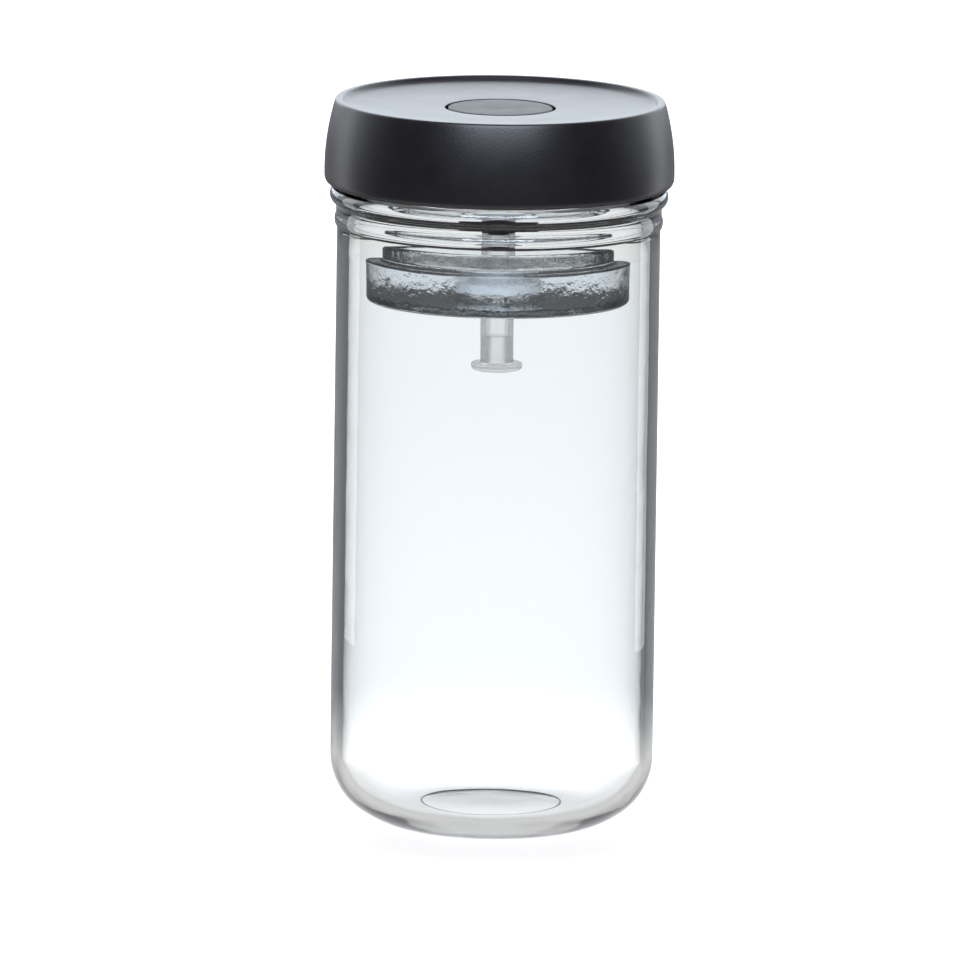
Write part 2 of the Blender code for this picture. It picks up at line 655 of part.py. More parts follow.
def make_stem_stop(parts, material):
    """Plug in the stem's lower end, with a flange that stops the press on its way down."""
    plug = STEM_BORE - FIT_GAP
    bottom = STOP_TOP_Z - STOP_THICKNESS
    corners = [
        (0.0, STOP_TOP_Z + STOP_PLUG, 0),
        (plug, STOP_TOP_Z + STOP_PLUG, 0),
        (plug, STOP_TOP_Z, 0),
        (STOP_RADIUS, STOP_TOP_Z, 0),
        (STOP_RADIUS, bottom, STOP_THICKNESS / 2),
        (0.0, bottom, 0),
    ]
    return turned("stem_stop", rounded(corners), SMALL, material, parts, seat=STOP_TOP_Z, closed=False)


def make_press_weight(parts, material):
    """Thick disc with a raised ring on top, a hollow foot, and a pocket under its hub for the grip."""
    ring_top = PRESS_TOP_Z + RING_HEIGHT
    ring_inner = RING_RADIUS - RING_WIDTH
    foot = PRESS_RADIUS - FOOT_INSET
    recess = PRESS_Z + FOOT_RECESS
    bore = STEM_RADIUS + RUNNING_GAP
    corners = [
        (RING_RADIUS, ring_top, RING_ROUND),
        (RING_RADIUS, PRESS_TOP_Z, 0),
        (PRESS_RADIUS, PRESS_TOP_Z, PRESS_ROUND),
        (PRESS_RADIUS, PRESS_Z, PRESS_ROUND),
        (foot, PRESS_Z, 0),
        (foot, recess, 0),
        (HUB_RADIUS, recess, 0),
        (HUB_RADIUS, PRESS_Z, 0),
        (POCKET_RADIUS, PRESS_Z, 0),
        (POCKET_RADIUS, POCKET_TOP_Z, 0),
        (bore, POCKET_TOP_Z, 0),
        (bore, PRESS_TOP_Z, 0),
        (ring_inner, PRESS_TOP_Z, 0),
        (ring_inner, ring_top, RING_ROUND),
    ]
    return turned("press_weight", rounded(corners), MEDIUM, material, parts, seat=PRESS_Z)


def carry(name, height, pieces, collection):
    """An empty on a joint's axis, with the pieces that move with it."""
    empty = bpy.data.objects.new(name, None)
    empty.location.z = height
    empty.empty_display_size = 0.02
    collection.objects.link(empty)
    for piece in pieces:
        piece.parent = empty
        piece.location.z -= height
    return empty


def main():
    clear_scene()
    parts = new_collection("fermentation_jar")
    cutters = new_collection("fermentation_jar_cutters")

    glass = make_material("clear_glass", (0.93, 0.97, 0.96), 0.02, transmission=1.0)
    clear_plastic = make_material("clear_plastic", (0.94, 0.95, 0.95), 0.06, transmission=1.0)
    dark_plastic = make_material("charcoal_plastic", (0.018, 0.019, 0.024), 0.42)
    silicone = make_material("silicone", (0.75, 0.76, 0.74), 0.6, transmission=0.2)
    steel = make_material("stainless_steel", (0.6, 0.6, 0.6), 0.3, metallic=1.0)

    make_glass_jar(parts, cutters, glass)
    lid = [
        make_lid_shell(parts, dark_plastic),
        make_thread_cap(parts, cutters, dark_plastic),
        ring("rim_gasket", MOUTH_RADIUS - GASKET_LIP, CAP_BORE - FIT_GAP, GASKET_Z, GASKET_THICKNESS,
             0, FINE, silicone, parts),
        ring("flap_valve", WASHER_BORE, WELL_RADIUS - FLAP_EDGE_GAP, FLAP_Z, FLAP_THICKNESS,
             0, SMALL, silicone, parts),
        ring("spring_washer", WASHER_BORE, WASHER_RADIUS, WASHER_Z, WASHER_THICKNESS,
             0, SMALL, steel, parts),
        make_button_spring(parts, steel),
        make_hanger_nut(parts, dark_plastic),
    ]
    vent = [
        make_vent_button(parts, dark_plastic),
        ring("poppet_seal", ROD_RADIUS + FIT_GAP, SEAL_RADIUS, SEAL_Z, SEAL_THICKNESS,
             0, SMALL, silicone, parts),
        make_poppet_screw(parts, steel),
    ]
    hanger = [
        make_stem_hanger(parts, dark_plastic),
        make_press_stem(parts, clear_plastic),
        make_stem_stop(parts, clear_plastic),
    ]
    press = [
        make_press_weight(parts, glass),
        ring("grip_ring", GRIP_BORE, GRIP_RADIUS, GRIP_Z, GRIP_HEIGHT,
             GRIP_ROUND, SMALL, silicone, parts),
        ring("grip_bush", GRIP_BORE, POCKET_RADIUS - FIT_GAP, BUSH_Z, BUSH_HEIGHT,
             0, SMALL, clear_plastic, parts),
    ]
    for obj in parts.objects:
        if obj.type == "MESH" and not obj.modifiers:
            obj.data.shade_smooth()
    carry("lid_turn_axis", JAR_HEIGHT, lid, parts)
    carry("vent_press_axis", LID_FLOOR_Z, vent, parts)
    carry("lid_lift_axis", HANGER_Z, hanger, parts)
    carry("press_slide_axis", PRESS_Z, press, parts)


main()
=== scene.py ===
"""Looks of the fermentation jar: clear moulded glass, a matt charcoal lid with a flush vent
button, and a thick pressed-glass press that hangs from the lid on a clear stem.

Sizes are in metres, in the frame of the CAD part: Z = 0 is the face that the jar stands on.
"""

import math

import bpy
from mathutils import Matrix, Vector, noise


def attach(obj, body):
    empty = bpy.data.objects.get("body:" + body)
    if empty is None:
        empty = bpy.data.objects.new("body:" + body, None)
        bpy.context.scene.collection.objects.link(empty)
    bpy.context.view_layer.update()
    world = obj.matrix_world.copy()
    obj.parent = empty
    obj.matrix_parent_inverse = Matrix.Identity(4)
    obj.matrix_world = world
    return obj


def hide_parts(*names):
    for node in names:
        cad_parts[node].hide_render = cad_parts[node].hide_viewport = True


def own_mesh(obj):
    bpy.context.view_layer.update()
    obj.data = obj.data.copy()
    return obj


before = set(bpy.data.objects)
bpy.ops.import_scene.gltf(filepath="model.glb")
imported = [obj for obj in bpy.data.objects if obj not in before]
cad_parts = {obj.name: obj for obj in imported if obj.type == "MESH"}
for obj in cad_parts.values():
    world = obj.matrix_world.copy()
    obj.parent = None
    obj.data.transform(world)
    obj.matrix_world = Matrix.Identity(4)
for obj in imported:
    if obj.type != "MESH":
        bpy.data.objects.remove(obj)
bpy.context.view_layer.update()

MM = 0.001

# Jar
JAR_HEIGHT = 232.4 * MM
BODY_RADIUS = 53.1 * MM
BODY_BORE = 49.0 * MM
BODY_WALL = BODY_RADIUS - BODY_BORE
WALL_RINGS = (60, 100, 140, 180)    # heights along the straight wall, in mm
BASE_THICKNESS = 5.0 * MM
CROWN_RADIUS = 9 * MM               # the inner floor rises a little in its middle
CROWN_RISE = 0.6 * MM
CROWN_EDGE_RISE = 0.5 * MM
HEEL_RADIUS = 21.5 * MM
SOLE_RADIUS = 37.0 * MM
HEEL_SWEEP = math.radians(57)
HEEL_STEPS = 10
PUNT_RADIUS = 20.0 * MM             # hollow middle of the base
PUNT_DEPTH = 0.5 * MM
PUNT_EDGE = 4 * MM
PUNT_EDGE_DEPTH = 0.6               # share of its depth that it has at its edge
PUNT_FLAT = 0.6                     # share of its radius that is flat
BEAD_Z = 210.1 * MM
BEAD_SWELL = 2.5 * MM
BEAD_ROUND = 3.2 * MM
BEAD_RISE = 2.4 * MM
BEAD_FALL = 3.6 * MM
BEAD_SWEEP = 58.0                   # degrees of its round below its middle
BEAD_GAP = 6                        # degrees that its round stops short at both ends
NECK_SWELL = 0.4 * MM
NARROWING_Z = 190.4 * MM
NARROWING_STEPS = 16
SHOULDER_Z = 201.8 * MM
SHOULDER_SWELL = 0.85 * MM
SHOULDER_HALF = 2.1 * MM
FINISH_RADIUS = 49.3 * MM
FINISH_FOOT = 2.3 * MM              # fillet between the threaded finish and the bead
MOUTH_RADIUS = 46.2 * MM

# Thread
STARTS = 4
LEAD = 24.0 * MM
LUG_RADIUS = 1.3 * MM
LUG_Z = JAR_HEIGHT - 6.5 * MM
LUG_ARC = math.radians(75)
LUG_TURN = math.radians(52)
LUG_FADE = 6 * MM
THREAD_RINGS = 28

# Lid
SKIRT_Z = 213.5 * MM
SKIRT_RINGS = (219, 224, 229, 234)  # heights inside the skirt, in mm
CAP_EDGE_Z = 215.1 * MM
SHELL_PLATE_Z = 236.9 * MM
LID_FLOOR_Z = 239.1 * MM
LID_TOP_Z = 241.7 * MM
LID_RADIUS = 57.5 * MM
PLATE_RADIUS = 55.35 * MM
SHELL_WALL = 2.1 * MM
BARREL_RISE = 5.0 * MM
BARREL_STEPS = 16
SKIRT_ROUND = 2.8 * MM
HEM_STEPS = 9
RIDGE_DEPTH = 1.3 * MM              # snap ridge inside the skirt, under the inner cap's edge
RIDGE_GAP = 0.3 * MM
RIDGE_LEAD = 0.45 * MM
RIM_BAND = 2.2 * MM
RIM_SLOPE = 0.9 * MM
COVE_START = 28.0 * MM              # the lid's floor is flat up to this radius, and rises softly
COVE_RISE = 1.2 * MM                # by this much from here to the rim band
COVE_STEPS = 8
BUTTON_RADIUS = 17.2 * MM
BUTTON_FLAT = BUTTON_RADIUS - 3 * MM
BUTTON_HOLE = 18.2 * MM
BUTTON_UNDER_Z = 237.5 * MM
GUIDE_RADIUS = 15.4 * MM
GUIDE_WALL = 1.8 * MM
GUIDE_Z = 226.5 * MM
ROD_BOSS_RADIUS = 5.2 * MM
ROD_BOSS_Z = 235.5 * MM
ROD_RADIUS = 2.4 * MM
ROD_Z = 215.4 * MM
SCREW_HOLE = 1.4 * MM
SCREW_HOLE_TOP = 222.1 * MM
SPRING_Z = 221.6 * MM
SPRING_TOP_Z = 237.2 * MM
SPRING_RADIUS = 6.2 * MM
SPRING_WIRE = 0.45 * MM             # radius of the wire
SPRING_TURNS = 5
SPRING_STEPS = 36                   # facets in each turn

# Press and stem
PRESS_TOP_Z = 190.2 * MM
PRESS_Z = 175.8 * MM
PRESS_RADIUS = 43.2 * MM
RING_RADIUS = 37.7 * MM
RING_WIDTH = 4.2 * MM
RING_HEIGHT = 7.0 * MM
FOOT_INSET = 8.5 * MM
FOOT_RECESS = 2.0 * MM
FOOT_SLOPE = 1.0 * MM
HUB_RADIUS = 13.0 * MM
POCKET_RADIUS = 9.5 * MM
POCKET_TOP_Z = 183.6 * MM
GROUND_Z = 180.4 * MM               # the bore is ground above this height, as pressed below it
PRESS_BORE = 5.85 * MM
PRESS_WAVE_LENGTH = 11 * MM
PRESS_WAVE_HEIGHT = 0.22 * MM
STEM_RADIUS = 5.45 * MM
STEM_BORE = 3.8 * MM
STEM_TOP_Z = 203.7 * MM
STEM_BOTTOM_Z = 154.8 * MM
FLARE_RADIUS = 7.7 * MM
FLARE_Z = 197.2 * MM
FLARE_HEIGHT = 2.9 * MM
FLARE_EDGE = 0.6 * MM

# Meshes
ROUND = 160                         # facets round the axis
MERGE = 0.001 * MM                  # points that lie closer than this are one
SLACK = 0.05 * MM                   # for telling one face's points from another's

# Materials
GLASS_IOR = 1.52
CLEAR_PLASTIC_IOR = 1.56
LID_PLASTIC_IOR = 1.5
SILICONE_IOR = 1.41
WHITE = (1.0, 1.0, 1.0, 1.0)

# Camera, from the photograph
PIXELS = 3.04 / MM                  # picture pixels for each metre at the jar's axis
PICTURE_WIDTH = 970
ELEVATION = math.radians(9.4)
ROLL = math.radians(0.8)
CAMERA_DISTANCE = 11.0
AIM = Vector((-3.3 * MM, 0.0, 113.3 * MM))
SENSOR_WIDTH = 36.0                 # in mm, as Blender has it

# Studio
FLOOR_COLOR = (0.82, 0.765, 0.72, 1.0)
FLOOR_LIFT = 0.08                   # glow of the floor as it is seen, near the jar
FLOOR_LIFT_FAR = 0.62               # and away from it
MIRRORED_FLOOR_SHADE = (0.15, 0.145, 0.145, 1.0)    # painted shade: the floor away from the jar, dark grey in its mirrors
THROUGH_FLOOR_SHADE = (0.24, 0.24, 0.25, 1.0)       # the same painted shade, mirrored inside the glass
PAINTED_EDGE_SHADE = (0.12, 0.122, 0.126, 1.0)              # painted shade for light that was trapped in the glass, which darkens its edges
PAINTED_HEEL_SHADE = (0.62, 0.62, 0.615, 1.0)               # the same painted shade, lighter, from the floor by the base
FRONT_COLOR = (0.035, 0.036, 0.042, 1.0)
CEILING_COLOR = (0.42, 0.44, 0.47, 1.0)
AMBIENT_COLOR = (0.52, 0.51, 0.505, 1.0)
NEUTRAL_WHITE = (1.0, 1.0, 1.0)
COOL_WHITE = (0.86, 0.93, 1.0)
DAYLIGHT = (0.8, 0.88, 1.0)
STRIP_POWER = 0.38
FRONT_POWER = 36.0
BACK_POWER = 17.8


def linear(code):
    """An sRGB hex colour as linear red, green, blue and alpha."""
    channels = [int(code[i:i + 2], 16) / 255 for i in (1, 3, 5)]
    return (*[c / 12.92 if c <= 0.04045 else ((c + 0.055) / 1.055) ** 2.4 for c in channels], 1.0)


def add_node(tree, kind, settings=None, **inputs):
    """Adds a node. A socket as an input makes a link.

    Inputs are named with _ for a space, or i and a number where names repeat.
    """
    node = tree.nodes.new(kind)
    for name, value in (settings or {}).items():
        setattr(node, name, value)
    for name, value in inputs.items():
        key = int(name[1:]) if name[0] == "i" and name[1:].isdigit() else name.replace("_", " ")
        if isinstance(value, bpy.types.NodeSocket):
            tree.links.new(value, node.inputs[key])
        else:
            node.inputs[key].default_value = value
    return node


def add_noise(tree, place, size, **inputs):
    """A noise factor with spots of about this size."""
    node = add_node(tree, "ShaderNodeTexNoise", Vector=place, Scale=1 / size, **inputs)
    return node.outputs["Fac"]


def add_math(tree, operation, *values):
    """The result of an operation on values that are numbers or sockets."""
    inputs = {f"i{i}": value for i, value in enumerate(values)}
    node = add_node(tree, "ShaderNodeMath", {"operation": operation}, **inputs)
    return node.outputs["Value"]


def smooth_step(tree, value, start, end, low=0.0, high=1.0):
    """Goes smoothly from low to high while the value goes from start to end."""
    node = add_node(tree, "ShaderNodeMapRange", {"interpolation_type": "SMOOTHSTEP"},
                    Value=value, From_Min=start, From_Max=end, To_Min=low, To_Max=high)
    return node.outputs["Result"]


def mix_colors(tree, factor, first, second):
    """Blends two colours, each a socket or a value.

    In the mix node they are inputs 6 and 7, and the blend is output 2.
    """
    node = add_node(tree, "ShaderNodeMix", {"data_type": "RGBA"},
                    Factor=factor, i6=first, i7=second)
    return node.outputs[2]


def new_material(name):
    """An empty material, with its tree, its shader and the place on the piece as a socket."""
    material = bpy.data.materials.new(name)
    material.use_nodes = True
    tree = material.node_tree
    shader = tree.nodes["Principled BSDF"]
    place = add_node(tree, "ShaderNodeTexCoord").outputs["Object"]
    return material, tree, shader, place


def set_inputs(shader, **inputs):
    """Sets a shader's inputs, named with _ for a space."""
    for name, value in inputs.items():
        shader.inputs[name.replace("_", " ")].default_value = value


def bump(tree, shader, height, distance):
    """Roughens the surface by a height factor that stands for this distance."""
    node = add_node(tree, "ShaderNodeBump", Height=height, Distance=distance, Strength=1.0)
    tree.links.new(node.outputs["Normal"], shader.inputs["Normal"])


def vary_color(tree, shader, factor, stops):
    """Colours the surface along a factor, between two stops of position and hex colour."""
    node = add_node(tree, "ShaderNodeValToRGB", Fac=factor)
    for element, (position, code) in zip(node.color_ramp.elements, stops):
        element.position = position
        element.color = linear(code)
    tree.links.new(node.outputs["Color"], shader.inputs["Base Color"])


def vary_roughness(tree, shader, factor, low, high, **window):
    """Maps a factor onto roughness from low to high, over all of it or a window of it."""
    node = add_node(tree, "ShaderNodeMapRange", Value=factor, To_Min=low, To_Max=high, **window)
    tree.links.new(node.outputs["Result"], shader.inputs["Roughness"])


def tint_depth(tree, code, density):
    """Takes light away inside the material, so that thick places are darker."""
    depth = add_node(tree, "ShaderNodeVolumeAbsorption", Color=linear(code), Density=density)
    tree.links.new(depth.outputs["Volume"], tree.nodes["Material Output"].inputs["Volume"])


def let_through(tree, factor, share=1.0):
    """Opens the surface by a factor, which is a number or a socket, and lets this share of the
    light that meets an open place go straight on.
    """
    surface = tree.nodes["Material Output"].inputs["Surface"]
    clear = add_node(tree, "ShaderNodeBsdfTransparent", Color=(share, share, share, 1.0))
    mix = add_node(tree, "ShaderNodeMixShader", i0=factor, i1=surface.links[0].from_socket,
                   i2=clear.outputs["BSDF"])
    tree.links.new(mix.outputs["Shader"], surface)


def pass_lamps(tree, share):
    """Lets lamps shine through glass, so that what stands in it and behind it is lit."""
    path = add_node(tree, "ShaderNodeLightPath")
    let_through(tree, path.outputs["Is Shadow Ray"], share)


def make_jar_glass():
    """Soda-lime glass, blown in a mould: clear, faintly green in its depth, with soft waves."""
    material, tree, shader, place = new_material("blown_soda_lime_glass")
    set_inputs(shader, Base_Color=linear("#FDFEFE"), Roughness=0.0, IOR=GLASS_IOR,
               Transmission_Weight=1.0)
    waves = add_noise(tree, place, size=16 * MM, Detail=1.0, Roughness=0.4)
    bump(tree, shader, waves, distance=0.10 * MM)
    tint_depth(tree, "#D3E2E0", density=4.0)
    pass_lamps(tree, share=0.92)
    return material


def make_press_glass():
    """Soda-lime glass pressed in a plunger mould: heavier waves, and a fire-polished ripple."""
    material, tree, shader, place = new_material("pressed_soda_lime_glass")
    set_inputs(shader, Base_Color=linear("#FAFCFC"), Roughness=0.0, IOR=GLASS_IOR,
               Transmission_Weight=1.0)
    ripple_share = 0.7
    flow = add_noise(tree, place, size=7 * MM, Detail=1.0, Roughness=0.4)
    ripple = add_noise(tree, place, size=2.4 * MM, Detail=3.0, Roughness=0.6)
    both = add_math(tree, "MULTIPLY_ADD", ripple, ripple_share, flow)
    bump(tree, shader, both, distance=0.35 * MM)
    tint_depth(tree, "#BECCD9", density=5.5)
    pass_lamps(tree, share=0.9)
    return material


def make_ground_bore():
    """Pressed glass in its bore and grip ring's seat: ground to size, so pale and matt."""
    material, tree, shader, place = new_material("pressed_glass_ground_bore")
    set_inputs(shader, Base_Color=linear("#F4F7F8"), Roughness=0.6, IOR=GLASS_IOR,
               Transmission_Weight=0.3)
    scratches = add_noise(tree, place, size=0.4 * MM, Detail=2.0)
    bump(tree, shader, scratches, distance=0.02 * MM)
    pass_lamps(tree, share=0.9)
    return material


def make_clear_plastic():
    """Styrene-acrylonitrile, injection moulded and clear, with faint flow lines along the tube."""
    material, tree, shader, place = new_material("clear_moulded_plastic")
    set_inputs(shader, Base_Color=linear("#F6F8F8"), Roughness=0.03, IOR=CLEAR_PLASTIC_IOR,
               Transmission_Weight=1.0)
    stretched = add_node(tree, "ShaderNodeMapping", Vector=place, Scale=(1.0, 1.0, 0.15))
    lines = add_noise(tree, stretched.outputs["Vector"], size=2.5 * MM, Detail=1.0)
    bump(tree, shader, lines, distance=0.05 * MM)
    pass_lamps(tree, share=0.9)
    let_through(tree, factor=0.5)    # half goes straight on, as through a thin clear wall
    return material


def make_lid_plastic(name, grain_height, roughness):
    """Charcoal polypropylene from a spark-eroded mould: an even fine grain, without gloss."""
    material, tree, shader, place = new_material(name)
    set_inputs(shader, IOR=LID_PLASTIC_IOR, Coat_Weight=0.0)
    grain_size = 0.55 * MM    # really about 0.1 mm, drawn coarser so that it shows
    grain = add_noise(tree, place, grain_size, Detail=2.0, Roughness=0.6)
    cloud = add_noise(tree, place, size=9 * MM, Detail=4.0, Roughness=0.6)
    vary_color(tree, shader, cloud, [(0.3, "#100E12"), (0.7, "#141217")])
    vary_roughness(tree, shader, cloud, *roughness, From_Min=0.3, From_Max=0.7)
    bump(tree, shader, grain, grain_height)
    return material


def make_silicone():
    """Translucent food-grade silicone rubber, compression moulded, with a dry dusty face."""
    material, tree, shader, place = new_material("translucent_silicone")
    set_inputs(shader, IOR=SILICONE_IOR, Transmission_Weight=0.25, Subsurface_Weight=0.35,
               Subsurface_Radius=(1.0, 0.9, 0.8), Subsurface_Scale=1.5 * MM)
    dust = add_noise(tree, place, size=1.2 * MM, Detail=3.0)
    vary_color(tree, shader, dust, [(0.35, "#DDDDD8"), (0.7, "#EAEAE6")])
    vary_roughness(tree, shader, dust, low=0.42, high=0.6)
    bump(tree, shader, dust, distance=0.04 * MM)
    return material


def make_steel(name, stretch, line_width):
    """Austenitic stainless steel, with the fine lines that drawing or turning leaves along it."""
    material, tree, shader, place = new_material(name)
    set_inputs(shader, Metallic=1.0)
    stretched = add_node(tree, "ShaderNodeMapping", Vector=place, Scale=stretch)
    lines = add_noise(tree, stretched.outputs["Vector"], line_width, Detail=3.0, Roughness=0.6)
    vary_color(tree, shader, lines, [(0.3, "#B4B5B4"), (0.7, "#CFCFCC")])
    vary_roughness(tree, shader, lines, low=0.2, high=0.38)
    bump(tree, shader, lines, distance=0.01 * MM)
    return material


def arc(center, radii, start, end, steps):
    """Points on an ellipse from the start angle to the end angle, both included."""
    points = []
    for i in range(steps + 1):
        angle = math.radians(start + (end - start) * i / steps)
        across = center[0] + radii[0] * math.cos(angle)
        up = center[1] + radii[1] * math.sin(angle)
        points.append((across, up))
    return points


def rounded(corners, steps=4):
    """An outline from (radius, height, fillet) corners, each fillet an arc tangent to its sides."""
    limit = 0.49    # share of a side that a fillet may take
    outline = []
    for i, (x, z, fillet) in enumerate(corners):
        here = Vector((x, z))
        if fillet == 0:
            outline.append((x, z))
            continue
        before = Vector(corners[i - 1][:2]) - here
        after = Vector(corners[(i + 1) % len(corners)][:2]) - here
        half = before.angle(after) / 2
        cut = min(fillet / math.tan(half), limit * before.length, limit * after.length)
        radius = cut * math.tan(half)
        middle = (before.normalized() + after.normalized()).normalized()
        center = here + middle * radius / math.sin(half)
        first = here + before.normalized() * cut - center
        last = here + after.normalized() * cut - center
        sweep = first.angle_signed(last)
        for j in range(steps + 1):
            spoke = Matrix.Rotation(-sweep * j / steps, 2) @ first
            outline.append(tuple(center + spoke))
    return outline


def clean_mesh(crease):
    """Joins double points in the mesh that is being edited, turns its faces outwards, leaves
    edit mode and smooths the faces, apart from edges sharper than the crease in degrees.
    """
    bpy.ops.mesh.select_all(action="SELECT")
    bpy.ops.mesh.remove_doubles(threshold=MERGE)
    bpy.ops.mesh.normals_make_consistent(inside=False)
    bpy.ops.object.mode_set(mode="OBJECT")
    bpy.ops.object.shade_smooth_by_angle(angle=math.radians(crease))


def turned(name, outline, closed=True, crease=35):
    """Draws a (radius, height) outline point by point at +X, then spins it about Z."""
    bpy.ops.object.select_all(action="DESELECT")
    bpy.ops.mesh.primitive_plane_add(size=MM, location=(0, 0, 0))
    piece = bpy.context.object
    piece.name = name
    piece.data.name = name
    bpy.ops.object.mode_set(mode="EDIT")
    bpy.ops.mesh.select_mode(type="VERT")
    bpy.ops.mesh.select_all(action="SELECT")
    bpy.ops.mesh.merge(type="CENTER")
    radius, height = outline[0]
    bpy.ops.transform.translate(value=(radius, 0, height))
    for next_radius, next_height in outline[1:] + (outline[:1] if closed else []):
        step = (next_radius - radius, 0, next_height - height)
        bpy.ops.mesh.extrude_vertices_move(TRANSFORM_OT_translate={"value": step})
        radius, height = next_radius, next_height
    bpy.ops.mesh.select_all(action="SELECT")
    bpy.ops.mesh.spin(steps=ROUND, angle=2 * math.pi, center=(0, 0, 0), axis=(0, 0, 1))
    clean_mesh(crease)
    return piece


def dress(piece, material, body, node):
    """Gives a finished piece its material, hangs it on the body that carries it, and hides the CAD
    node that it stands for.
    """
    piece.data.materials.clear()
    piece.data.materials.append(material)
    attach(piece, body)
    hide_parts(node)


def heel_curve(wall, bottom, inset):
    """Two tangent arcs from the straight wall down to the flat base."""
    small = HEEL_RADIUS - inset
    large = SOLE_RADIUS - inset
    height = large - (large - small) * math.sin(HEEL_SWEEP)
    sweep = math.degrees(HEEL_SWEEP)
    sole_x = wall - small - (large - small) * math.cos(HEEL_SWEEP)
    points = arc((wall - small, bottom + height), (small, small), 0, -sweep, HEEL_STEPS)
    points += arc((sole_x, bottom + large), (large, large), -sweep, -90, HEEL_STEPS)[1:]
    return points


def raise_lugs(piece):
    """Swells the finish into four lugs of a right-handed helix, each faded out at its ends."""
    finish_z = BEAD_Z + BEAD_RISE + 0.5 * MM    # the lugs begin above this height
    lug_half = 1.5 * LUG_RADIUS
    for vertex in piece.data.vertices:
        x, y, z = vertex.co
        radius = math.hypot(x, y)
        if z < finish_z or radius < FINISH_RADIUS - SLACK:
            continue
        for i in range(STARTS):
            middle = LUG_TURN + 2 * math.pi * i / STARTS
            turn = (math.atan2(y, x) - middle + math.pi) % (2 * math.pi) - math.pi
            off = z - (LUG_Z + LEAD * turn / (2 * math.pi))
            end = LUG_ARC / 2 - abs(turn)
            if end > 0 and abs(off) < lug_half:
                swell = LUG_RADIUS * math.cos(math.pi * off / (2 * lug_half)) ** 2
                swell *= min(1.0, end * FINISH_RADIUS / LUG_FADE)
                vertex.co.x = x * (radius + swell) / radius
                vertex.co.y = y * (radius + swell) / radius


def make_glass_jar(material):
    """One outline from the floor's middle up the inside, over the mouth and down to the base."""
    bead_top = BEAD_Z + BEAD_RISE
    bead_foot = BEAD_Z - BEAD_FALL
    bead_middle = BODY_RADIUS + BEAD_SWELL - BEAD_ROUND
    bead_start = math.degrees(math.asin(BEAD_RISE / BEAD_ROUND)) - BEAD_GAP
    bead_end = BEAD_GAP - BEAD_SWEEP
    bead_steps = 14
    rim_round = (FINISH_RADIUS - MOUTH_RADIUS) / 2
    rim_z = JAR_HEIGHT - rim_round
    rim_steps = 14
    narrowing = BODY_BORE - MOUTH_RADIUS
    neck = BODY_RADIUS + NECK_SWELL
    neck_flare = 0.25 * MM
    neck_ease = 0.3 * MM
    ring_start = math.degrees(math.acos(NECK_SWELL / SHOULDER_SWELL))
    fillet_steps = 8
    thread_height = rim_z - bead_top - FINISH_FOOT

    outline = [(0.0, BASE_THICKNESS + CROWN_RISE), (CROWN_RADIUS, BASE_THICKNESS + CROWN_EDGE_RISE)]
    outline += heel_curve(BODY_BORE, BASE_THICKNESS, BODY_WALL)[::-1]
    outline += [(BODY_BORE, z * MM) for z in WALL_RINGS]
    for i in range(NARROWING_STEPS + 1):
        share = i / NARROWING_STEPS
        fall = (1 + math.cos(math.pi * share)) / 2
        z = NARROWING_Z + (BEAD_Z - NARROWING_Z) * share
        outline.append((MOUTH_RADIUS + narrowing * fall, z))
    outline += arc((MOUTH_RADIUS + rim_round, rim_z), (rim_round, rim_round), 180, 0, rim_steps)
    for i in range(1, THREAD_RINGS):
        outline.append((FINISH_RADIUS, rim_z - thread_height * i / THREAD_RINGS))
    outline += arc((FINISH_RADIUS + FINISH_FOOT, bead_top + FINISH_FOOT),
                   (FINISH_FOOT, FINISH_FOOT), 180, 270, fillet_steps)
    outline += arc((bead_middle, BEAD_Z), (BEAD_ROUND, BEAD_ROUND),
                   bead_start, bead_end, bead_steps)
    outline += [(neck + neck_flare, bead_foot + neck_ease), (neck, bead_foot - neck_ease)]
    outline += arc((BODY_RADIUS, SHOULDER_Z), (SHOULDER_SWELL, SHOULDER_HALF),
                   ring_start, -90, fillet_steps)
    outline += [(BODY_RADIUS, z * MM) for z in reversed(WALL_RINGS)]
    outline += heel_curve(BODY_RADIUS, 0.0, 0.0)
    outline += [(PUNT_RADIUS + PUNT_EDGE, 0.0), (PUNT_RADIUS, PUNT_DEPTH * PUNT_EDGE_DEPTH)]
    outline += [(PUNT_RADIUS * PUNT_FLAT, PUNT_DEPTH), (0.0, PUNT_DEPTH)]
    jar = turned("moulded_jar", outline, closed=False)
    raise_lugs(jar)
    dress(jar, material, "jar", "glass_jar")


def barrel(z):
    """Outer radius of the lid's skirt at a height: one shallow arc."""
    middle = SKIRT_Z + BARREL_RISE
    return LID_RADIUS - (LID_RADIUS - PLATE_RADIUS) * ((z - middle) / (SHELL_PLATE_Z - middle)) ** 2


